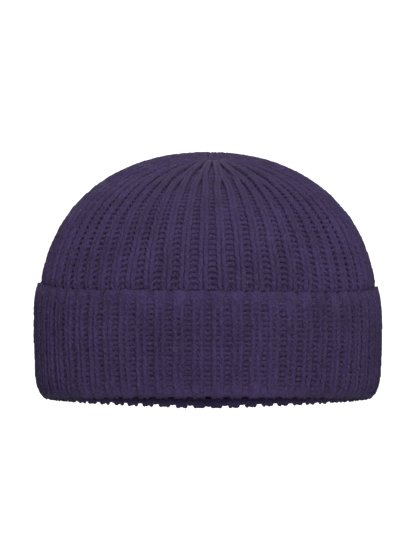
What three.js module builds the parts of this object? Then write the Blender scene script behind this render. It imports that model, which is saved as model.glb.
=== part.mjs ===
import * as THREE from 'three';

// Fisherman beanie knitted in thick rib: a round crown, open below, with its lower edge
// rolled and turned up outside as a deep cuff. Millimetres, +Z up, the front faces -Y.
// The origin lies on the surface that the hat stands on, under the middle of the hat.

// Overall sizes
const hatWidth = 184.6; // side to side, over the ribs of the cuff
const hatDepth = 206; // front to back, over the ribs of the cuff
const hatHeight = 132.9; // over the middle, before the shoulders tilt and the top dips

// Knitting
const closingRibs = 15; // ribs left where the crown is drawn shut
const ribMerges = 2; // times that neighbouring ribs merge in pairs on the way up
const ribDepth = 2; // from the crest of a rib to the furrow beside it
const crownThickness = 4;
const cuffThickness = 4.2;
const layerGap = 0.3; // between the layers of knitting, and round the closing

// Cuff
const cuffHeightFront = 54;
const cuffHeightSide = 60.6;
const cuffHeightBack = 58;
const sideSpread = 0.06; // a small share keeps the greater height close to the two sides
const lipTilt = 1.2; // how much the loose edge is higher on the left and lower on the right
const frontLift = 6.5; // the rim rises by this from the back to the front
const liftPower = 0.6; // 1 is a level tilt, and less lifts the rim sooner beside the back
const backSquash = 0.8; // how much the ribs are flattened where the back of the rim rests
const foldHeight = 8; // height of the rounded roll at the rim
const ledgeHeight = 9; // height in the roll at which the inner layer of the crown starts
const footInset = 2.4; // how far the cuff draws in at the roll
const lipInset = 2; // how far the cuff draws in at its loose top edge
const lipHeight = 1.2; // height of the rounding of the loose edge

// Crown
const crownInset = 1.7; // how far the crown's widest level stays inside the outline of the cuff
const widestHeight = 33.7; // level that the crown's curve springs from, inside the cuff
const domeRoundness = 2.5; // 2 is an ellipse, and more is squarer at the shoulders
const bulgeHeight = 4.5; // above the cuff, where the crown reaches its full width
const neckHeight = 1; // above the cuff, where the crown starts to swell
const shoulderTilt = 6; // how much the shoulder is lower in front and higher behind
const tiltBearing = 4; // degrees from the front to the lowest shoulder, towards the right
const peakRight = 2.6; // how far the closing lies to the right of the middle
const peakForward = 6; // how far the closing lies in front of the middle
const dipDepth = 2.5; // how far the top is drawn down at the closing
const dipRadius = 7.2;
const closingWidth = 10; // across the closing, side to side

const ribCount = closingRibs * 2 ** ribMerges;
const halfWidth = hatWidth / 2;
const halfDepth = hatDepth / 2;
const reliefHalf = ribDepth / 2;
const hiddenInset = reliefHalf + cuffThickness; // back of the cuff's outer layer
const wallInset = hiddenInset + layerGap; // outside of the crown behind the cuff
const hollowInset = wallInset + crownThickness; // the side that faces the head

// Outer face of the cuff: height as a share of the way from the roll to the lip, inset as
// shares of the two draw-ins, and relief as a share of the full depth of the ribs.
const cuffFace = [
  { height: 0, foot: 1, lip: 0, relief: 0.8 },
  { height: 0.28, foot: 0.45, lip: 0, relief: 1 },
  { height: 0.62, foot: 0, lip: 0, relief: 1 },
  { height: 0.88, foot: 0, lip: 0.25, relief: 0.8 },
];

// Round the roll: turn in degrees from the outer face, past the bottom, to the hollow.
const rollTurns = [155, 102, 78, 30];

// Crown from the cuff to the closing: turn in degrees from upright, merges of the ribs so
// far, relief as a share, and whether the face towards the head has this row too.
const domeRows = [
  { turn: 67, merges: 0, relief: 1, inner: false },
  { turn: 60, merges: 0, relief: 1, inner: true },
  { turn: 52, merges: 0, relief: 1, inner: false },
  { turn: 44, merges: 0, relief: 1, inner: true },
  { turn: 36, merges: 0, relief: 0.9, inner: false },
  { turn: 29, merges: 0, relief: 0.8, inner: true },
  { turn: 22.5, merges: 1, relief: 0.9, inner: false },
  { turn: 17, merges: 1, relief: 0.9, inner: true },
  { turn: 12.5, merges: 1, relief: 0.8, inner: false },
  { turn: 8.5, merges: 2, relief: 0.8, inner: true },
  { turn: 5, merges: 2, relief: 0.5, inner: false },
];

const radians = THREE.MathUtils.degToRad;
const lerp = THREE.MathUtils.lerp;

// Ribs are spaced evenly along the oval. Returns the bearing, 0 in front and growing
// towards the right, of a place counted in ribs from the front.
const oval = new THREE.EllipseCurve(0, 0, halfWidth, halfDepth, -Math.PI / 2, Math.PI * 1.5);
oval.arcLengthDivisions = ribCount * 12;
function bearingOf(ribs) {
  const share = THREE.MathUtils.euclideanModulo(ribs / ribCount, 1);
  return oval.getUtoTmapping(share) * Math.PI * 2;
}

function ovalPoint(bearing, inset, height) {
  const x = (halfWidth - inset) * Math.sin(bearing);
  const y = -(halfDepth - inset) * Math.cos(bearing);
  return new THREE.Vector3(x, y, Math.max(height, 0));
}

// Height of the rim, halfway between its crests and its furrows
function rimHeight(bearing) {
  const lifted = ((1 + Math.cos(bearing)) / 2) ** liftPower;
  return reliefHalf - backSquash + frontLift * lifted;
}

function lipTop(bearing) {
  const facing = Math.cos(bearing);
  const frontOrBack = lerp(cuffHeightBack, cuffHeightFront, (1 + facing) / 2);
  const awayFromSide = (facing ** 2 * (1 + sideSpread)) / (facing ** 2 + sideSpread);
  const height = lerp(cuffHeightSide, frontOrBack, awayFromSide);
  return rimHeight(bearing) + height - lipTilt * Math.sin(bearing);
}

// The crown's outline over the crests of its ribs, by bearing and turn from upright
const domeHalfWidth = halfWidth - crownInset;
const domeHalfDepth = halfDepth - crownInset;
const domeRise = hatHeight - widestHeight;
const power = 2 / domeRoundness;

function domeOutline(bearing, turn) {
  const reach = Math.sin(turn) ** power;
  const nearTop = (1 - reach) ** 2;
  const dip = dipDepth * Math.exp(-((reach * domeHalfWidth / dipRadius) ** 2));
  const lowered = Math.cos(bearing - radians(tiltBearing));
  const tilt = shoulderTilt * Math.sin(Math.PI * reach) * lowered;
  return new THREE.Vector3(
    peakRight * nearTop + domeHalfWidth * reach * Math.sin(bearing),
    -peakForward * nearTop - domeHalfDepth * reach * Math.cos(bearing),
    widestHeight + domeRise * Math.cos(turn) ** power - tilt - dip,
  );
}

// A point that lies a depth below the outline, square to it
function domePoint(bearing, turn, depth) {
  const step = 0.001;
  const around = domeOutline(bearing + step, turn).sub(domeOutline(bearing - step, turn));
  const upward = domeOutline(bearing, turn - step).sub(domeOutline(bearing, turn + step));
  const outward = around.cross(upward).normalize();
  return domeOutline(bearing, turn).addScaledVector(outward, -depth);
}

// The turn at which the crown has a height above its widest level
function turnAtHeight(height) {
  return Math.acos(((height - widestHeight) / domeRise) ** (1 / power));
}

// Two points a rib, a furrow and a crest in turn, after a number of merges
function crownRing(merges, place) {
  const points = [];
  const count = 2 * ribCount / 2 ** merges;
  for (let i = 0; i < count; i += 1) {
    const bearing = bearingOf((i * 2 ** merges - 1) / 2);
    points.push(place(bearing, i % 2 === 1 ? 1 : -1));
  }
  return points;
}

// Three points a rib on the cuff: both sides of its crest, and the furrow after it
const crestHalfWidth = 0.2; // as a share of a rib
function cuffRing(place) {
  const points = [];
  for (let rib = 0; rib < ribCount; rib += 1) {
    const middle = rib + 0.5;
    points.push(place(bearingOf(middle - crestHalfWidth), 1));
    points.push(place(bearingOf(middle + crestHalfWidth), 1));
    points.push(place(bearingOf(middle + 0.5), -1));
  }
  return points;
}

// Triangles between two rings of vertex numbers. They have as many points, or one has
// twice as many as the other, or one is a single point.
function bridge(low, high, faces) {
  const count = Math.max(low.length, high.length);
  const at = (ring, i) => ring[Math.floor(i * ring.length / count) % ring.length];
  for (let i = 0; i < count; i += 1) {
    const [a, b] = [at(low, i), at(low, i + 1)];
    const [c, d] = [at(high, i), at(high, i + 1)];
    if (a !== b) faces.push(a, b, d);
    if (c !== d) faces.push(a, d, c);
  }
}

// A closed skin over rings that run up the outside and down the inside
function skin(rings, endless) {
  const positions = [];
  const faces = [];
  const numbered = rings.map((ring) => ring.map((point) => {
    positions.push(point.x, point.y, point.z);
    return positions.length / 3 - 1;
  }));
  for (let i = 1; i < numbered.length; i += 1) bridge(numbered[i - 1], numbered[i], faces);
  if (endless) bridge(numbered[numbered.length - 1], numbered[0], faces);
  const geometry = new THREE.BufferGeometry();
  geometry.setAttribute('position', new THREE.Float32BufferAttribute(positions, 3));
  geometry.setIndex(faces);
  geometry.computeVertexNormals();
  return geometry;
}

const closingTurn = Math.asin((closingWidth / 2 / domeHalfWidth) ** (1 / power));

function crownGeometry() {
  const wallFoot = (bearing) => rimHeight(bearing) + ledgeHeight + layerGap;
  const bulgeTurn = (bearing) => turnAtHeight(lipTop(bearing) + bulgeHeight);
  const outside = (turn, row) => crownRing(row.merges, (bearing, crest) =>
    domePoint(bearing, turn(bearing), reliefHalf * (1 - row.relief * crest)));
  const inside = (turn, row) => crownRing(row.merges, (bearing, crest) =>
    domePoint(bearing, turn(bearing), crownThickness + reliefHalf * (1 - row.relief * crest)));

  const full = { merges: 0, relief: 1 };
  const flat = { merges: ribMerges, relief: 0 };
  const atClosing = () => closingTurn;
  const rings = [];
  rings.push(crownRing(0, (bearing) => ovalPoint(bearing, wallInset, wallFoot(bearing))));
  rings.push(crownRing(0, (bearing) => ovalPoint(bearing, wallInset, lipTop(bearing) + neckHeight)));
  rings.push(outside(bulgeTurn, full));
  for (const row of domeRows) rings.push(outside(() => radians(row.turn), row));
  rings.push(outside(atClosing, flat), inside(atClosing, flat));
  for (const row of [...domeRows].reverse()) {
    if (row.inner) rings.push(inside(() => radians(row.turn), row));
  }
  rings.push(inside(bulgeTurn, full));
  rings.push(crownRing(0, (bearing, crest) =>
    ovalPoint(bearing, hollowInset - reliefHalf * crest, wallFoot(bearing))));
  return skin(rings, true);
}

function cuffGeometry() {
  const rings = [];
  for (const row of cuffFace) {
    rings.push(cuffRing((bearing, crest) => {
      const foot = rimHeight(bearing) + foldHeight;
      const height = lerp(foot, lipTop(bearing) - lipHeight, row.height);
      const drawn = row.foot * footInset + row.lip * lipInset;
      return ovalPoint(bearing, reliefHalf + drawn - reliefHalf * row.relief * crest, height);
    }));
  }
  const lipOuter = reliefHalf + lipInset;
  rings.push(cuffRing((bearing) => ovalPoint(bearing, lipOuter, lipTop(bearing) - lipHeight)));
  rings.push(cuffRing((bearing) => ovalPoint(bearing, (lipOuter + hiddenInset) / 2, lipTop(bearing))));
  rings.push(cuffRing((bearing) => ovalPoint(bearing, hiddenInset, lipTop(bearing) - lipHeight)));
  rings.push(cuffRing((bearing) => ovalPoint(bearing, hiddenInset, rimHeight(bearing) + ledgeHeight)));
  rings.push(cuffRing((bearing, crest) =>
    ovalPoint(bearing, hollowInset + reliefHalf * crest, rimHeight(bearing) + ledgeHeight)));

  const outerInset = reliefHalf + footInset;
  const rollMiddle = (outerInset + hollowInset) / 2;
  const rollHalf = (hollowInset - outerInset) / 2;
  for (const turn of rollTurns) {
    const across = Math.cos(radians(turn));
    const down = Math.sin(radians(turn));
    rings.push(cuffRing((bearing, crest) => {
      const inset = rollMiddle - (rollHalf + reliefHalf * crest) * across;
      const height = rimHeight(bearing) + foldHeight * (1 - down) - reliefHalf * crest * down;
      return ovalPoint(bearing, inset, height);
    }));
  }
  return skin(rings, true);
}

// The gathered disc fills the hole that the last ribs leave, and dips with it
function closureGeometry() {
  const edgeWidth = closingWidth / 2 - layerGap;
  const turnAtShare = (share) => Math.asin((share * edgeWidth / domeHalfWidth) ** (1 / power));
  const ring = (share, depth) => crownRing(ribMerges, (bearing) =>
    domePoint(bearing, turnAtShare(share), depth));
  const middle = (depth) => {
    const top = domeOutline(0, 0);
    return [top.setZ(top.z - depth)];
  };
  const halfWay = 0.5;
  const rings = [
    middle(reliefHalf + crownThickness),
    ring(1, reliefHalf + crownThickness),
    ring(1, reliefHalf),
    ring(halfWay, reliefHalf),
    middle(reliefHalf),
  ];
  return skin(rings, false);
}

const purpleWool = { roughness: 0.95, metalness: 0 };
const crownWool = new THREE.MeshStandardMaterial({ color: 0x4a3d61, ...purpleWool });
const cuffWool = new THREE.MeshStandardMaterial({ color: 0x483b5f, ...purpleWool });
const closureWool = new THREE.MeshStandardMaterial({ color: 0x4e4166, ...purpleWool });

function piece(name, geometry, material) {
  const mesh = new THREE.Mesh(geometry, material);
  mesh.name = name;
  return mesh;
}

const beanie = new THREE.Group();
beanie.add(piece('crown', crownGeometry(), crownWool));
beanie.add(piece('cuff', cuffGeometry(), cuffWool));
beanie.add(piece('crown_closure', closureGeometry(), closureWool));

export default beanie;
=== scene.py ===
import math

import bpy
import numpy as np
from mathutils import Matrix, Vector


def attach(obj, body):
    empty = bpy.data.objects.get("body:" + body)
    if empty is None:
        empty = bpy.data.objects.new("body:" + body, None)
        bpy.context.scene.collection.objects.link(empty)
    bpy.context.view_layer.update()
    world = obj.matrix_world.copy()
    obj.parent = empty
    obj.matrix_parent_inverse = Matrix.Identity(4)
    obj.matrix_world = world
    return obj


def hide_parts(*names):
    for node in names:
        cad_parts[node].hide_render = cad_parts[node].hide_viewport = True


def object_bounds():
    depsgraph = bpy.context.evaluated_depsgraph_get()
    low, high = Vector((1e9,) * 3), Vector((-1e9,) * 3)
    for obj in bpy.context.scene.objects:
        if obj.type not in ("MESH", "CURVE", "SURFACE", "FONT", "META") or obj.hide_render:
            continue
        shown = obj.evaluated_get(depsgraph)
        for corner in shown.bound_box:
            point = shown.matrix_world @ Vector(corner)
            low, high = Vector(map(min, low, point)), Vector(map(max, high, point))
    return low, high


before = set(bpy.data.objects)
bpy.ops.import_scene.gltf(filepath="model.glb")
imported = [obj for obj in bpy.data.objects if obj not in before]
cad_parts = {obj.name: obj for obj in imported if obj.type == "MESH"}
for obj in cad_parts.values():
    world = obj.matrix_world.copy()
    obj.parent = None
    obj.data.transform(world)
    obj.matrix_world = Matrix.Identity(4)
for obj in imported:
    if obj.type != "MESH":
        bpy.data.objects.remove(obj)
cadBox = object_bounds()
halfWidth, halfDepth = cadBox[1].x, cadBox[1].y
mm = 0.001
fullTurn = 2 * math.pi

# The cloth is one knitted tube. It starts at the loose edge on top of the cuff, runs down the
# cuff, round the roll, up inside it and over the crown to the closing. Its middle layer is a
# form that every course of yarn is laid on, with u round the hat and v along the courses.
cloth = {
    "half": 2.1 * mm,            # from the middle of the cloth to its outline
    "ribs": 60,
    "cuffRows": 21,              # loose edge to the bottom of the roll
    "innerRows": 20,             # bottom of the roll to the level of the loose edge
    "crownRows": 40,             # from there to the closing
    "cuffTwist": 0.25,           # ribs that the cuff is turned against the crown
    "columns": 240,              # of the form, round the hat
    "linesPerRow": 4,            # of the form, for each course of yarn
    "finePoints": 121,           # on a curve before it is spaced evenly
    "ovalPoints": 7201,
}
formRows = cloth["cuffRows"] + cloth["innerRows"] + cloth["crownRows"]
fine = np.linspace(0, 1, cloth["finePoints"])[:, None]


def mix(a, b, share):
    return a + (b - a) * share


def evenBearings():
    # from a share of the way round the oval to a bearing, 0 in front and growing to the right
    turn = np.linspace(0, fullTurn, cloth["ovalPoints"])
    x, y = halfWidth * np.sin(turn), -halfDepth * np.cos(turn)
    length = np.concatenate([[0], np.cumsum(np.hypot(np.diff(x), np.diff(y)))])
    return lambda share: np.interp(share % 1 * length[-1], length, turn)


def oval(bearing, inset, height):
    x = (halfWidth - inset) * np.sin(bearing)
    y = -(halfDepth - inset) * np.cos(bearing)
    return np.stack([x, y, height + 0 * x], -1)


rim = {
    "middle": -0.75 * mm,        # the back, pressed flat on the floor
    "frontLift": 5.95 * mm,
    "liftFullness": 1.5,
    "sideLift": 0.8 * mm,        # it arches up a little at the sides
    "sideSharpness": 8,
}


def rimHeight(bearing):
    lifted = 1 - (1 - np.abs(np.cos(bearing / 2))) ** rim["liftFullness"]
    atSide = np.abs(np.sin(bearing)) ** rim["sideSharpness"]
    return rim["middle"] + rim["frontLift"] * lifted + rim["sideLift"] * atSide


roll = {
    "height": 8 * mm,
    "sideHeight": 4.5 * mm,      # added at the sides
    "fullness": 0.78,            # 1 is an ellipse, less is fuller
    "sideTaper": 0.5,            # less full at the sides
    "sideDraw": 1.8 * mm,        # its bottom is drawn in at the sides
    "footInset": 2.7 * mm,
    "footSide": -1.7 * mm,       # the foot is drawn in less at the sides
}


def footInset(bearing):
    return roll["footInset"] + roll["footSide"] * np.sin(bearing) ** 2


def rollRise(bearing):
    return roll["height"] + roll["sideHeight"] * np.sin(bearing) ** 2


def footHeight(bearing):
    return rimHeight(bearing) + rollRise(bearing)


def rollLines(bearing, start, end):
    a = np.radians(mix(start, end, fine))
    outer = cloth["half"] + footInset(bearing)
    inset = mix(outer, wall["inset"], (1 - np.cos(a)) / 2)
    inset = inset + roll["sideDraw"] * np.sin(bearing) ** 2 * np.sin(a) ** 2
    fullness = roll["fullness"] + roll["sideTaper"] * np.sin(bearing) ** 2
    drop = np.abs(np.sin(a)) ** fullness
    height = footHeight(bearing) - (rollRise(bearing) - cloth["half"]) * drop
    return oval(bearing, inset, height)


cuff = {
    "front": 55.2 * mm,          # heights above the rim
    "side": 60.7 * mm,
    "back": 58 * mm,
    "sideSpread": 0.06,          # keeps the greater height close to the sides
    "lipTilt": 1.2 * mm,         # lower on the right, higher on the left
    "lipInset": 2.6 * mm,        # drawn in at the loose edge
    "lipBend": 6 * mm,           # over about this height
    "footStart": 0.35,           # more starts its narrowing to the foot lower down
}


def lipHeight(bearing):
    facing = np.cos(bearing)
    frontOrBack = mix(cuff["back"], cuff["front"], (1 + facing) / 2)
    spread = cuff["sideSpread"]
    awayFromSide = facing ** 2 * (1 + spread) / (facing ** 2 + spread)
    height = mix(cuff["side"], frontOrBack, awayFromSide)
    return rimHeight(bearing) + height - cuff["lipTilt"] * np.sin(bearing)


def cuffLines(bearing):
    lip = lipHeight(bearing)
    height = mix(lip, footHeight(bearing), fine)
    drawn = cuff["lipInset"] * np.exp(-(lip - height) / cuff["lipBend"])
    nearFoot = np.clip(mix(-cuff["footStart"], 1, fine), 0, 1) ** 2
    drawn = drawn + footInset(bearing) * nearFoot
    return oval(bearing, cloth["half"] + drawn, height)


wall = {
    "inset": 8.0 * mm,           # from the outline to the middle of the hidden inner layer
    "neckSwell": 1.2 * mm,       # it fills the edge of the cuff from inside
    "neckReach": 4 * mm,
}


def wallLines(bearing):
    lip = lipHeight(bearing)
    height = mix(footHeight(bearing), lip, fine)
    neck = wall["neckSwell"] * np.exp(-((lip - height) / wall["neckReach"]) ** 2)
    return oval(bearing, wall["inset"] - neck, height)


crown = {
    "inset": 1.9 * mm,
    "top": 133.4 * mm,
    "widest": 33.7 * mm,         # the level where it is widest, inside the cuff
    "roundness": 2.5,
    "bulge": 4 * mm,             # above the lip, where the dome starts
    "shoulderTilt": 6 * mm,      # the front of its shoulder is lower
    "tiltBearing": math.radians(4),
    "peakRight": 2.6 * mm,       # where the closing lies
    "peakForward": 6 * mm,
    "dip": 2.5 * mm,             # the closing is drawn in
    "dipRadius": 7.2 * mm,
    "closingRadius": 0.3 * mm,
    "slopeStep": 0.0005,
}


def crownOutline(bearing, turn):
    power = 2 / crown["roundness"]
    crownWidth, crownDepth = halfWidth - crown["inset"], halfDepth - crown["inset"]
    reach = np.sin(turn) ** power
    nearTop = (1 - reach) ** 2
    dip = crown["dip"] * np.exp(-((reach * crownWidth / crown["dipRadius"]) ** 2))
    lowered = np.cos(bearing - crown["tiltBearing"])
    tilt = crown["shoulderTilt"] * np.sin(np.pi * reach) * lowered
    x = crown["peakRight"] * nearTop + crownWidth * reach * np.sin(bearing)
    y = -crown["peakForward"] * nearTop - crownDepth * reach * np.cos(bearing)
    z = crown["widest"] + (crown["top"] - crown["widest"]) * np.cos(turn) ** power - tilt - dip
    return np.stack([x, y, z], -1)


def crownLines(bearing):
    level = lipHeight(bearing) + crown["bulge"] - crown["widest"]
    level = level / (crown["top"] - crown["widest"])
    bulgeTurn = np.arccos(level ** (crown["roundness"] / 2))
    closing = (crown["closingRadius"] / halfWidth) ** (crown["roundness"] / 2)
    turn = mix(bulgeTurn, np.arcsin(closing), fine)
    step = crown["slopeStep"]
    around = crownOutline(bearing + step, turn) - crownOutline(bearing - step, turn)
    upward = crownOutline(bearing, turn - step) - crownOutline(bearing, turn + step)
    outward = np.cross(around, upward)
    outward /= np.linalg.norm(outward, axis=-1, keepdims=True)
    return crownOutline(bearing, turn) - outward * cloth["half"]


def evenly(stretch, shares):
    # stretch[point, column, xyz], spaced again so that its lines are evenly far apart
    out = np.empty((len(shares), stretch.shape[1], 3))
    for column in range(stretch.shape[1]):
        steps = np.linalg.norm(np.diff(stretch[:, column], axis=0), axis=1)
        length = np.concatenate([[0], np.cumsum(steps)])
        for axis in range(3):
            out[:, column, axis] = np.interp(shares * length[-1], length, stretch[:, column, axis])
    return out


def formLines():
    # the middle of the cloth as lines round the hat, from the loose edge to the closing
    place = evenBearings()
    share = np.linspace(0, 1, cloth["columns"] + 1)
    twist = cloth["cuffTwist"] / cloth["ribs"]
    twisted, plain = place(share + twist), place(share)
    # the cuff is turned a little against the crown, and the hidden wall takes the twist up
    hidden = wallLines(place(share + twist * (1 - fine) ** 2 * (1 + 2 * fine)))
    stretches = (
        (cloth["cuffRows"], (cuffLines(twisted), rollLines(twisted, 0, 90)[1:])),
        (cloth["innerRows"], (rollLines(twisted, 90, 180), hidden[1:])),
        (cloth["crownRows"], (hidden[-1:], crownLines(plain))),
    )
    lines = []
    for rows, parts in stretches:
        shares = np.linspace(0, 1, rows * cloth["linesPerRow"] + 1)
        spaced = evenly(np.concatenate(parts), shares)
        lines.append(spaced[:-1])
    return np.concatenate([*lines, spaced[-1:]])


def addObject(name, data):
    made = bpy.data.objects.new(name, data)
    bpy.context.scene.collection.objects.link(made)
    return made


def makeForm():
    lines = formLines()
    rows, columns = lines.shape[:2]
    around = np.roll(lines[:, :-1], -1, 1) - np.roll(lines[:, :-1], 1, 1)
    around = np.concatenate([around, around[:, :1]], 1)
    facing = np.cross(np.gradient(lines, axis=0), around)
    facing /= np.linalg.norm(facing, axis=-1, keepdims=True)
    number = np.arange(rows * columns).reshape(rows, columns)
    quads = np.stack([number[:-1, :-1], number[1:, :-1], number[1:, 1:], number[:-1, 1:]], -1)
    mesh = bpy.data.meshes.new("clothForm")
    mesh.from_pydata(lines.reshape(-1, 3).tolist(), [], quads.reshape(-1, 4).tolist())
    u = np.broadcast_to(np.linspace(0, 1, columns), (rows, columns))
    v = np.broadcast_to(np.linspace(0, 1, rows)[:, None], (rows, columns))
    uv = np.stack([u, v], -1).reshape(-1, 2)[quads.reshape(-1)]
    uvLayer = mesh.uv_layers.new(name="formUV")
    uvLayer.uv.foreach_set("vector", uv.astype(np.float32).ravel())
    facingLayer = mesh.attributes.new("facing", "FLOAT_VECTOR", "POINT")
    facingLayer.data.foreach_set("vector", facing.astype(np.float32).ravel())
    print("form of the cloth:", rows, "lines of", columns, "points")
    return addObject("clothForm", mesh)


# Nodes: a Wire is a socket that adds Math nodes when it meets an operator
class Wire:
    def __init__(self, board, socket):
        self.board, self.socket = board, socket

    def maths(self, operation, *values):
        return self.board.node("ShaderNodeMath", {"operation": operation}, values)

    def __add__(self, other):
        return self.maths("ADD", self, other)

    def __radd__(self, other):
        return self.maths("ADD", other, self)

    def __sub__(self, other):
        return self.maths("SUBTRACT", self, other)

    def __rsub__(self, other):
        return self.maths("SUBTRACT", other, self)

    def __mul__(self, other):
        return self.maths("MULTIPLY", self, other)

    def __rmul__(self, other):
        return self.maths("MULTIPLY", other, self)

    def __truediv__(self, other):
        return self.maths("DIVIDE", self, other)

    def __mod__(self, other):
        return self.maths("FLOORED_MODULO", self, other)

    def sin(self):
        return self.maths("SINE", self)

    def cos(self):
        return self.maths("COSINE", self)

    def tanh(self):
        return self.maths("TANH", self)

    def exp(self):
        return self.maths("EXPONENT", self)

    def angleFrom(self, other):
        return self.maths("ARCTAN2", self, other)

    def atLeast(self, other):
        return self.maths("MAXIMUM", self, other)

    def atMost(self, other):
        return self.maths("MINIMUM", self, other)

    def whole(self):                                # the small share guards against rounding
        return self.maths("FLOOR", self + 0.0001)

    def out(self, name):
        return Wire(self.board, self.socket.node.outputs[name])


class Board:
    def __init__(self, tree):
        self.tree = tree

    # settings are set first, then sockets take values or links, by place or by name
    def node(self, kind, settings=None, sockets=()):
        made = self.tree.nodes.new(kind)
        for name, value in (settings or {}).items():
            setattr(made, name, value)
        inputs = [s for s in made.inputs if s.enabled]
        if isinstance(sockets, dict):
            pairs = [(next(s for s in inputs if s.name == name), value)
                     for name, value in sockets.items()]
        else:
            pairs = zip(inputs, sockets)
        for socket, value in pairs:
            if isinstance(value, Wire):
                self.tree.links.new(value.socket, socket)
            else:
                socket.default_value = value
        shown = [s for s in made.outputs if s.enabled] or [None]
        return Wire(self, shown[0])


def vector(board, x, y, z=0.0):
    return board.node("ShaderNodeCombineXYZ", {}, (x, y, z))


def noise(board, where, scale, detail, roughness=0.5):
    return board.node("ShaderNodeTexNoise", {}, {
        "Vector": where, "Scale": scale, "Detail": detail, "Roughness": roughness}).out("Fac")


# Slow noise from -0.5 to 0.5 that meets itself round the hat
def drift(board, roundShare, row, scale, rowsInOne=30):
    turn = roundShare * fullTurn
    return noise(board, vector(board, turn.cos(), turn.sin(), row / rowsInOne), scale, 1.0) - 0.5


def eased(board, value, start, end, atStart, atEnd):
    return board.node("ShaderNodeMapRange", {"interpolation_type": "SMOOTHSTEP"}, {
        "Value": value, "From Min": start, "From Max": end, "To Min": atStart, "To Max": atEnd})


def attribute(board, kind, name):
    return board.node("GeometryNodeInputNamedAttribute", {"data_type": kind}, {"Name": name})


def store(board, kind, geometry, name, value):
    return board.node("GeometryNodeStoreNamedAttribute", {"data_type": kind, "domain": "POINT"},
                      {"Geometry": geometry, "Name": name, "Value": value})


# The parts that both trees share: their inputs, the way on to the form, and their end
def startTree(name, inputs):
    kinds = {int: "NodeSocketInt", float: "NodeSocketFloat", type(None): "NodeSocketMaterial"}
    tree = bpy.data.node_groups.new(name, "GeometryNodeTree")
    tree.interface.new_socket("Geometry", in_out="INPUT", socket_type="NodeSocketGeometry")
    for label, value in inputs.items():
        socket = tree.interface.new_socket(label, in_out="INPUT", socket_type=kinds[type(value)])
        if value is not None:
            socket.default_value = value
    tree.interface.new_socket("Geometry", in_out="OUTPUT", socket_type="NodeSocketGeometry")
    board = Board(tree)
    return board, board.node("NodeGroupInput").out


def findOnForm(board, take, where):
    # the middle of the cloth at a place on the form, and the way that the cloth faces there
    def sample(value):
        return board.node("GeometryNodeSampleUVSurface", {"data_type": "FLOAT_VECTOR"}, {
            "Mesh": take("Geometry"), "Value": value,
            "UV Map": attribute(board, "FLOAT_VECTOR", "formUV"), "Sample UV": where})

    middle = sample(board.node("GeometryNodeInputPosition"))
    return middle, sample(attribute(board, "FLOAT_VECTOR", "facing"))


def raiseFromForm(board, middle, facing, out, lowest):
    # where the hat rests, the cloth lies flat on the floor
    raised = board.node("ShaderNodeVectorMath", {"operation": "SCALE"},
                        {"Vector": facing, "Scale": out})
    spot = board.node("ShaderNodeVectorMath", {"operation": "ADD"}, (middle, raised))
    spot = board.node("ShaderNodeSeparateXYZ", {}, {"Vector": spot})
    return vector(board, spot.out("X"), spot.out("Y"), spot.out("Z").atLeast(lowest))


def endTree(board, take, geometry):
    geometry = board.node("GeometryNodeSetShadeSmooth", {}, {"Geometry": geometry})
    geometry = board.node("GeometryNodeRealizeInstances", {}, {"Geometry": geometry})
    geometry = board.node("GeometryNodeSetMaterial", {},
                          {"Geometry": geometry, "Material": take("Material")})
    board.node("NodeGroupOutput", {}, {"Geometry": geometry})
    print("tree:", board.tree.name, len(board.tree.nodes), "nodes")
    return board.tree


# One tree lays every course of yarn: a ring of loops, knit and purl in turn
courseInputs = {
    "First row": 0.0,            # rows are counted from the loose edge
    "Rows": 10,
    "Row step": 1.0,
    "Form rows": float(formRows),
    "Ribs": cloth["ribs"],
    "Steps a stitch": 10,
    "Sides": 5,                  # of the yarn
    "Rib shift": 0.0,            # in ribs
    "Yarn radius": 1.18 * mm,
    "Yarn radius at end": 1.18 * mm,
    "Rib depth": 0.8 * mm,
    "Rib depth at end": 0.8 * mm,
    "Loop height": 1.1,          # in rows
    "Loop width": 0.1,           # in stitches
    "Loop swell": 0.2,           # narrow at its feet, wide at its head
    "Loop depth": 0.58 * mm,     # how far its head stands over its feet
    "Purl rise": 0.5,            # more of that on a purl
    "Pair pull": 0.0,            # in ribs, towards the neighbour that a rib joins
    "Pair rows": 5.0,
    "Unevenness": 0.17,
    "Wander": 0.2,               # in ribs
    "Seed": 3,
    "Material": None,
}
loopForm = {
    "knitWider": 0.45,           # ribs are wider than furrows
    "headFlatness": 0.1,
    "turnSharpness": 2.4,        # how soon the yarn turns from a rib into a furrow
    "unevenAcross": 0.6,         # shares of the unevenness
    "unevenOut": 0.8 * mm,
    "pairMiddle": 1.25,
    "wanderScale": 5.0,
    "formEnds": (0.001, 0.9995),
}


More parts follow.
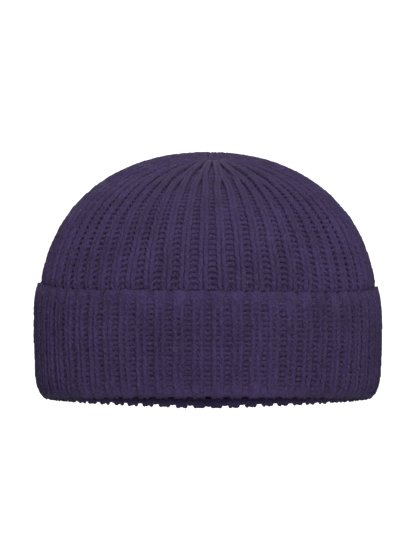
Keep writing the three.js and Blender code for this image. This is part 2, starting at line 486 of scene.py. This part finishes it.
def makeCourseTree():
    board, take = startTree("knittedCourses", courseInputs)
    steps, rows, ribs = take("Steps a stitch"), take("Rows"), take("Ribs")
    perRow = ribs * steps * 2
    ring = board.node("GeometryNodeMeshCircle", {"fill_type": "NONE"}, {"Vertices": perRow})
    points = board.node("GeometryNodePoints", {}, {"Count": rows})
    rings = board.node("GeometryNodeInstanceOnPoints", {}, {"Points": points, "Instance": ring})
    rings = board.node("GeometryNodeRealizeInstances", {}, {"Geometry": rings})

    index = board.node("GeometryNodeInputIndex")
    row = (index / perRow).whole()
    onRing = index - row * perRow
    stitch = (onRing / steps).whole()
    loop = (index / steps).whole()
    t = (onRing / steps - stitch) * fullTurn
    side = 1 - 2 * (stitch % 2)                     # 1 on a knit stitch, -1 on a purl
    lift = (t * 0.5).sin()                          # 0 at the feet, 1 at the head
    progress = row / (rows - 0.999)                 # 0 on the first course, 1 on the last

    def chance(channel):
        value = board.node("FunctionNodeRandomValue", {"data_type": "FLOAT"},
                           {"Min": -1.0, "Max": 1.0, "ID": loop, "Seed": take("Seed") + channel})
        return value * take("Unevenness") * lift * lift

    def towardsEnd(name):
        return take(name) + (take(name + " at end") - take(name)) * progress

    # a loop's place: across in stitches, up in rows, out in metres
    width = take("Loop width") * (1 + loopForm["knitWider"] * side)
    across = t / fullTurn - width * t.sin() + take("Loop swell") * (t * 2).sin()
    across = across + loopForm["unevenAcross"] * chance(0)
    up = -1 * take("Loop height") * (t.cos() - loopForm["headFlatness"] * (t * 3).cos())
    up = up + chance(1)
    sharpness = loopForm["turnSharpness"]
    turned = (lift * sharpness).tanh() * (1 / math.tanh(sharpness))
    loopDepth = take("Loop depth") * (1 + (1 - side) * (0.5 * take("Purl rise")))
    out = side * turned * (towardsEnd("Rib depth") - loopDepth * (t * 2).cos())
    out = out + loopForm["unevenOut"] * chance(2)

    # ribs drift sideways a little, and near the top they run together in pairs
    ribPlace = (stitch + across) * 0.5
    nearEnd = eased(board, row + up, rows - take("Pair rows"), rows, 0.0, 1.0)
    fromPair = (ribPlace - loopForm["pairMiddle"]) * math.pi
    ribPlace = ribPlace - take("Pair pull") * nearEnd * fromPair.sin()
    wander = drift(board, ribPlace / ribs, take("First row") + row, loopForm["wanderScale"])
    ribPlace = ribPlace + take("Wander") * wander
    u = ((ribPlace + take("Rib shift")) / ribs) % 1.0
    v = (take("First row") + row * take("Row step") + up) / take("Form rows")
    lowest, highest = loopForm["formEnds"]
    v = board.node("ShaderNodeClamp", {}, {"Value": v, "Min": lowest, "Max": highest})
    middle, facing = findOnForm(board, take, vector(board, u, v))
    radius = towardsEnd("Yarn radius")
    spot = raiseFromForm(board, middle, facing, out, radius)

    # the yarn itself, with its length and its turn kept for the plies in the wool
    laid = board.node("GeometryNodeSetPosition", {}, {"Geometry": rings, "Position": spot})
    laid = store(board, "FLOAT", laid, "girth", radius)
    yarn = board.node("GeometryNodeMeshToCurve", {}, {"Mesh": laid})
    length = board.node("GeometryNodeSplineParameter").out("Length")
    yarn = store(board, "FLOAT", yarn, "along", length)
    profile = board.node("GeometryNodeCurvePrimitiveCircle", {},
                         {"Resolution": take("Sides"), "Radius": 1.0})
    turn = board.node("GeometryNodeInputIndex") / take("Sides") * fullTurn
    profile = store(board, "FLOAT_VECTOR", profile, "around",
                    vector(board, turn.cos(), turn.sin()))
    tube = board.node("GeometryNodeCurveToMesh", {}, {
        "Curve": yarn, "Profile Curve": profile, "Scale": attribute(board, "FLOAT", "girth")})
    return endTree(board, take, tube)


# A second tree makes the matted fibre between the loops: a closed sheet inside the cloth
feltInputs = {
    "First row": 0.0,
    "Rows": 10,
    "Form rows": float(formRows),
    "Ribs": cloth["ribs"],
    "Steps a rib": 6,
    "Lines a row": 1,
    "Rib shift": 0.0,
    "Depth": -0.75 * mm,         # from the middle of the cloth, outwards
    "Rib depth": 0.9 * mm,
    "Thickness": 0.5 * mm,
    "Unevenness": 1.6 * mm,
    "Edge rise": 0.0,            # the soft band along the loose edge
    "Edge rows": 5.5,
    "Edge wave": 0.0,            # in rows
    "Fold rise": 0.0,            # the full fold at the bottom of the roll
    "Furrow fill": 0.0,
    "Fold row": 21.3,
    "Fold rows": 2.5,
    "Material": None,
}
feltForm = {
    "ribMiddle": 0.25,           # a rib is the first half of its share
    "ribSharpness": 2,
    "waveScale": 14.0,
    "unevenScale": 9.0,
    "backShare": 4,              # more fills the furrows nearer to the back, where it rests
    "outsideLowest": 0.2 * mm,
    "insideLowest": 0.7 * mm,
    "mergeWithin": 0.03 * mm,
    "roundEnds": (0.00001, 0.99999),
    "formEnds": (0.0001, 0.9999),
}


def makeFeltTree():
    board, take = startTree("mattedFibre", feltInputs)
    grid = board.node("GeometryNodeMeshGrid", {}, {
        "Size X": 1.0, "Size Y": 1.0, "Vertices X": take("Ribs") * take("Steps a rib") + 1,
        "Vertices Y": take("Rows") * take("Lines a row") + 1})
    spot = board.node("ShaderNodeSeparateXYZ", {},
                      {"Vector": board.node("GeometryNodeInputPosition")})
    u = spot.out("X") + 0.5
    row = take("First row") + (spot.out("Y") + 0.5) * take("Rows")
    nearEdge = eased(board, row, 0.0, take("Edge rows"), 1.0, 0.0)
    waved = nearEdge * take("Edge wave") * drift(board, u, row, feltForm["waveScale"])
    v = (row + waved) / take("Form rows")
    (first, last), (lowest, highest) = feltForm["roundEnds"], feltForm["formEnds"]
    where = vector(board, u.atLeast(first).atMost(last), v.atLeast(lowest).atMost(highest))
    middle, facing = findOnForm(board, take, where)

    fromRib = u * take("Ribs") - take("Rib shift") - feltForm["ribMiddle"]
    wave = (fromRib * fullTurn).cos()
    wave = (wave * feltForm["ribSharpness"]).tanh()         # 1 on a rib, -1 in a furrow
    uneven = take("Unevenness") * drift(board, u, row, feltForm["unevenScale"])
    fromFold = (row - take("Fold row")) / take("Fold rows")
    nearFold = (-1 * fromFold * fromFold).exp()
    besideBack = (((u * fullTurn).cos() + 1) * feltForm["backShare"]).atMost(1.0)
    filled = take("Fold rise") + (0.5 - 0.5 * wave) * take("Furrow fill") * besideBack
    depth = take("Depth") + wave * take("Rib depth") + uneven
    depth = depth + nearEdge * take("Edge rise") + nearFold * filled

    def sheetAt(out, lowest):
        placed = raiseFromForm(board, middle, facing, out, lowest)
        return board.node("GeometryNodeSetPosition", {}, {"Geometry": grid, "Position": placed})

    outside = sheetAt(depth + take("Thickness") * 0.5, feltForm["outsideLowest"])
    inside = sheetAt(depth - take("Thickness") * 0.5, feltForm["insideLowest"])
    inside = board.node("GeometryNodeFlipFaces", {}, {"Mesh": inside})
    joined = board.node("GeometryNodeJoinGeometry")
    for sheet in (inside, outside):
        board.tree.links.new(sheet.socket, joined.socket.node.inputs[0])
    joined = board.node("GeometryNodeMergeByDistance", {},
                        {"Geometry": joined, "Distance": feltForm["mergeWithin"]})
    return endTree(board, take, joined)


# The wool: mottled purple, matt, with plies wound round the yarn and fine fibres over them
wool = {
    "mottleScale": 1100.0,
    "mottleDetail": 4.0,
    "mottleRoughness": 0.7,
    "mottleShare": 3.6,
    "heatherScale": 60.0,
    "heatherDetail": 2.0,
    "heatherShare": 0.8,
    "darkShare": 1.7,
    "plies": 3,
    "plyLength": 9 * mm,
    "plyHeight": 0.6,
    "fibreScale": 1500.0,
    "fibreDetail": 3.0,
    "fibreHeight": 4,
    "bumpStrength": 0.8,
    "bumpDistance": 0.3 * mm,
    "roughness": 0.95,
    "specular": 0.06,
    "sheen": 0.02,
    "sheenRoughness": 0.5,
    "sheenTint": (0.7, 0.62, 0.85, 1),
}


def makeWool(name, light, dark):
    material = bpy.data.materials.new(name)
    material.use_nodes = True
    material.node_tree.nodes.clear()
    board = Board(material.node_tree)
    place = board.node("ShaderNodeTexCoord").out("Object")
    mottle = noise(board, place, wool["mottleScale"], wool["mottleDetail"],
                   wool["mottleRoughness"])
    heather = noise(board, place, wool["heatherScale"], wool["heatherDetail"])
    tone = wool["mottleShare"] * mottle + wool["heatherShare"] * heather - wool["darkShare"]
    colour = board.node("ShaderNodeMix", {"data_type": "RGBA"},
                        {"Factor": tone, "A": (*dark, 1), "B": (*light, 1)})

    along = board.node("ShaderNodeAttribute", {"attribute_name": "along"}).out("Fac")
    around = board.node("ShaderNodeAttribute", {"attribute_name": "around"}).out("Vector")
    around = board.node("ShaderNodeSeparateXYZ", {}, {"Vector": around})
    angle = around.out("Y").angleFrom(around.out("X"))
    twist = fullTurn * wool["plies"] / wool["plyLength"]
    plies = (angle * wool["plies"] + along * twist).sin()
    fibres = noise(board, place, wool["fibreScale"], wool["fibreDetail"])
    height = wool["plyHeight"] * plies + wool["fibreHeight"] * fibres
    bump = board.node("ShaderNodeBump", {}, {
        "Strength": wool["bumpStrength"], "Distance": wool["bumpDistance"], "Height": height})
    shader = board.node("ShaderNodeBsdfPrincipled", {}, {
        "Base Color": colour, "Roughness": wool["roughness"],
        "Specular IOR Level": wool["specular"], "Sheen Weight": wool["sheen"],
        "Sheen Roughness": wool["sheenRoughness"], "Sheen Tint": wool["sheenTint"],
        "Normal": bump})
    board.node("ShaderNodeOutputMaterial", {}, {"Surface": shader})
    print("wool:", name)
    return material


def makePiece(name, tree, settings, node):
    carrier = form.copy()
    bpy.context.scene.collection.objects.link(carrier)
    modifier = carrier.modifiers.new("knitting", "NODES")
    modifier.node_group = tree
    sockets = {s.name: s.identifier for s in tree.interface.items_tree if s.in_out == "INPUT"}
    for key, value in settings.items():
        modifier[sockets[key]] = value
    bpy.context.view_layer.update()
    evaluated = carrier.evaluated_get(bpy.context.evaluated_depsgraph_get())
    mesh = bpy.data.meshes.new_from_object(evaluated)
    carrier.modifiers.remove(modifier)
    bpy.data.objects.remove(carrier)
    mesh.name = name
    piece = addObject(name, mesh)
    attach(piece, "root")
    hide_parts(node)
    print(name, "triangles:", sum(len(p.vertices) - 2 for p in mesh.polygons))


form = makeForm()
courseTree = makeCourseTree()
feltTree = makeFeltTree()
# cuff and crown are one yarn; the crown's copy is about 5% lighter, painted light for the brighter
# light that falls on the crown
cuffWool = makeWool("cuffWool", light=(0.0163, 0.0097, 0.0328), dark=(0.0054, 0.0032, 0.0109))
crownWoolPaintedLighter = makeWool("crownWoolPaintedLighter", light=(0.0172, 0.0102, 0.0348), dark=(0.0057, 0.0034, 0.0116))
firstRow = 1.5                   # the first full course; the pieces follow on from each other

cuffEdge = {
    "Material": cuffWool, "Seed": 10,
    "First row": 0.36, "Rows": 2, "Row step": 0.5, "Steps a stitch": 6,
    "Rib depth": 0.1 * mm, "Rib depth at end": 0.25 * mm,
    "Loop height": 0.1, "Loop depth": 0.1 * mm,
}
makePiece("cuff_edge", courseTree, cuffEdge, "cuff")

cuffUpper = {
    "Material": cuffWool, "Seed": 11,
    "First row": firstRow, "Rows": 12,
    "Rib depth": 0.7 * mm, "Rib depth at end": 0.7 * mm,
}
makePiece("cuff_courses_upper", courseTree, cuffUpper, "cuff")

cuffLower = {
    "Material": cuffWool, "Seed": 12,
    "First row": firstRow + 12, "Rows": 11,
    "Rib depth": 0.7 * mm, "Rib depth at end": 0.8 * mm,
}
makePiece("cuff_courses_lower", courseTree, cuffLower, "cuff")

cuffFelt = {
    "Material": cuffWool,
    "First row": 0.3, "Rows": 24, "Lines a row": 2,
    "Edge rise": 1.9 * mm, "Edge rows": 6.3, "Edge wave": 1.5,
    "Fold rise": 1.85 * mm, "Furrow fill": 1.1 * mm,
}
makePiece("cuff_felt", feltTree, cuffFelt, "cuff")

crownInner = {
    "Material": crownWoolPaintedLighter, "Seed": 13,
    "First row": firstRow + 23, "Rows": 17, "Steps a stitch": 7, "Sides": 4,
}
makePiece("crown_inner_courses", courseTree, crownInner, "crown")

crownFelt = {
    "Material": crownWoolPaintedLighter,
    "First row": 24.1, "Rows": 56, "Depth": 0.75 * mm, "Unevenness": 0.9 * mm,
}
makePiece("crown_felt", feltTree, crownFelt, "crown")

crownSide = {
    "Material": crownWoolPaintedLighter, "Seed": 14,
    "First row": firstRow + 40, "Rows": 14, "Unevenness": 0.11,
    "Yarn radius": 1.2 * mm, "Yarn radius at end": 1.2 * mm,
    "Rib depth": 1.0 * mm, "Rib depth at end": 1.0 * mm,
    "Loop height": 1.25, "Loop width": 0.065, "Loop depth": 0.48 * mm, "Purl rise": 0.8,
}
makePiece("crown_courses_side", courseTree, crownSide, "crown")

crownShoulder = {
    "Material": crownWoolPaintedLighter, "Seed": 15,
    "First row": firstRow + 54, "Rows": 12, "Unevenness": 0.12, "Pair pull": 0.2,
    "Yarn radius": 1.2 * mm, "Yarn radius at end": 1.02 * mm,
    "Rib depth": 0.88 * mm, "Rib depth at end": 1.0 * mm,
    "Loop height": 1.2, "Loop width": 0.065, "Loop depth": 0.38 * mm, "Purl rise": 0.8,
}
makePiece("crown_courses_shoulder", courseTree, crownShoulder, "crown")

crownTop = {
    "Material": crownWoolPaintedLighter, "Seed": 16,
    "First row": firstRow + 66, "Rows": 10, "Ribs": 30, "Rib shift": -0.125,
    "Yarn radius": 1.28 * mm, "Yarn radius at end": 1.2 * mm, "Rib depth at end": 1.0 * mm,
}
makePiece("crown_courses_top", courseTree, crownTop, "crown")

crownClosing = {
    "Material": crownWoolPaintedLighter, "Seed": 17,
    "First row": firstRow + 76, "Rows": 3, "Ribs": 15, "Rib shift": -0.19,
}
makePiece("crown_courses_closing", courseTree, crownClosing, "crown_closure")
bpy.data.objects.remove(form)

# A long lens, almost at the level of the floor
view = {
    "distance": 3.0,
    "eyeHeight": 0.005,
    "sensor": 36,
    "pixel": 184 / 348 * mm,     # what one pixel of the photograph spans at the hat
    "frameWidth": 416,
    "frameHeight": 555,
    "centreAcross": 207.9,       # the pixels where the middle of the rim lies
    "centreDown": 409.0,
}


def makeCamera():
    data = bpy.data.cameras.new("camera")
    camera = addObject("camera", data)
    data.sensor_width = view["sensor"]
    data.lens = view["sensor"] * view["distance"] / (view["frameHeight"] * view["pixel"])
    aim = Vector(((view["frameWidth"] / 2 - view["centreAcross"]) * view["pixel"], 0,
                  (view["centreDown"] - view["frameHeight"] / 2) * view["pixel"]))
    camera.location = (aim.x, -view["distance"], view["eyeHeight"])
    camera.rotation_euler = (aim - camera.location).to_track_quat("-Z", "Y").to_euler()
    bpy.context.scene.camera = camera
    print("camera: lens", round(data.lens), "mm")


# A white floor that curves up behind
floorForm = {
    "half": 4.0,
    "wall": 3.0,
    "bend": 1.0,
    "bendSteps": 8,
    "colour": (0.15, 0.15, 0.15, 1),
    "glow": 1.1,
    "roughness": 0.9,
}


def makeFloor():
    half, bend, steps = floorForm["half"], floorForm["bend"], floorForm["bendSteps"]
    profile = [(-half, 0.0), (half - bend, 0.0)]
    for i in range(1, steps + 1):
        a = math.radians(90 * i / steps)
        profile.append((half - bend + bend * math.sin(a), bend - bend * math.cos(a)))
    profile.append((half, floorForm["wall"]))
    corners = [(x, y, z) for y, z in profile for x in (-half, half)]
    faces = [(2 * i, 2 * i + 1, 2 * i + 3, 2 * i + 2) for i in range(len(profile) - 1)]
    mesh = bpy.data.meshes.new("floor")
    mesh.from_pydata(corners, [], faces)
    mesh.polygons.foreach_set("use_smooth", [True] * len(mesh.polygons))
    material = bpy.data.materials.new("paleFloor")
    material.use_nodes = True
    inputs = material.node_tree.nodes["Principled BSDF"].inputs
    inputs["Base Color"].default_value = floorForm["colour"]
    inputs["Emission Color"].default_value = (1, 1, 1, 1)
    inputs["Emission Strength"].default_value = floorForm["glow"]
    inputs["Roughness"].default_value = floorForm["roughness"]
    mesh.materials.append(material)
    floor = addObject("floor", mesh)
    print("floor:", len(faces), "faces")


# Soft light from above in front, from behind, and low along the floor
lights = {
    "keyLight": {"place": (0.1, -2.2, 1.3), "size": (0.8, 0.8), "power": 137},
    "topLight": {"place": (0.3, -0.4, 2.4), "size": (1.2, 1.2), "power": 88},
    "backLight": {"place": (-0.4, 2.2, 1.0), "size": (0.9, 0.9), "power": 38},
    "lowFill": {"place": (0.1, -3.2, 0.03), "size": (1.6, 0.05), "power": 172},
}
lightAim = Vector((0, 0, 0.07))
skyStrength = 0.05


def makeLights():
    world = bpy.data.worlds.new("softSky")
    world.use_nodes = True
    sky = world.node_tree.nodes["Background"].inputs
    sky["Color"].default_value = (1, 1, 1, 1)
    sky["Strength"].default_value = skyStrength
    bpy.context.scene.world = world
    for name, settings in lights.items():
        data = bpy.data.lights.new(name, "AREA")
        data.shape, data.energy = "RECTANGLE", settings["power"]
        data.size, data.size_y = settings["size"]
        light = addObject(name, data)
        light.location = settings["place"]
        aim = lightAim - light.location
        light.rotation_euler = aim.to_track_quat("-Z", "Y").to_euler()
    bpy.context.scene.view_settings.view_transform = "Standard"
    print("lights:", ", ".join(lights))


makeCamera()
makeFloor()
makeLights()
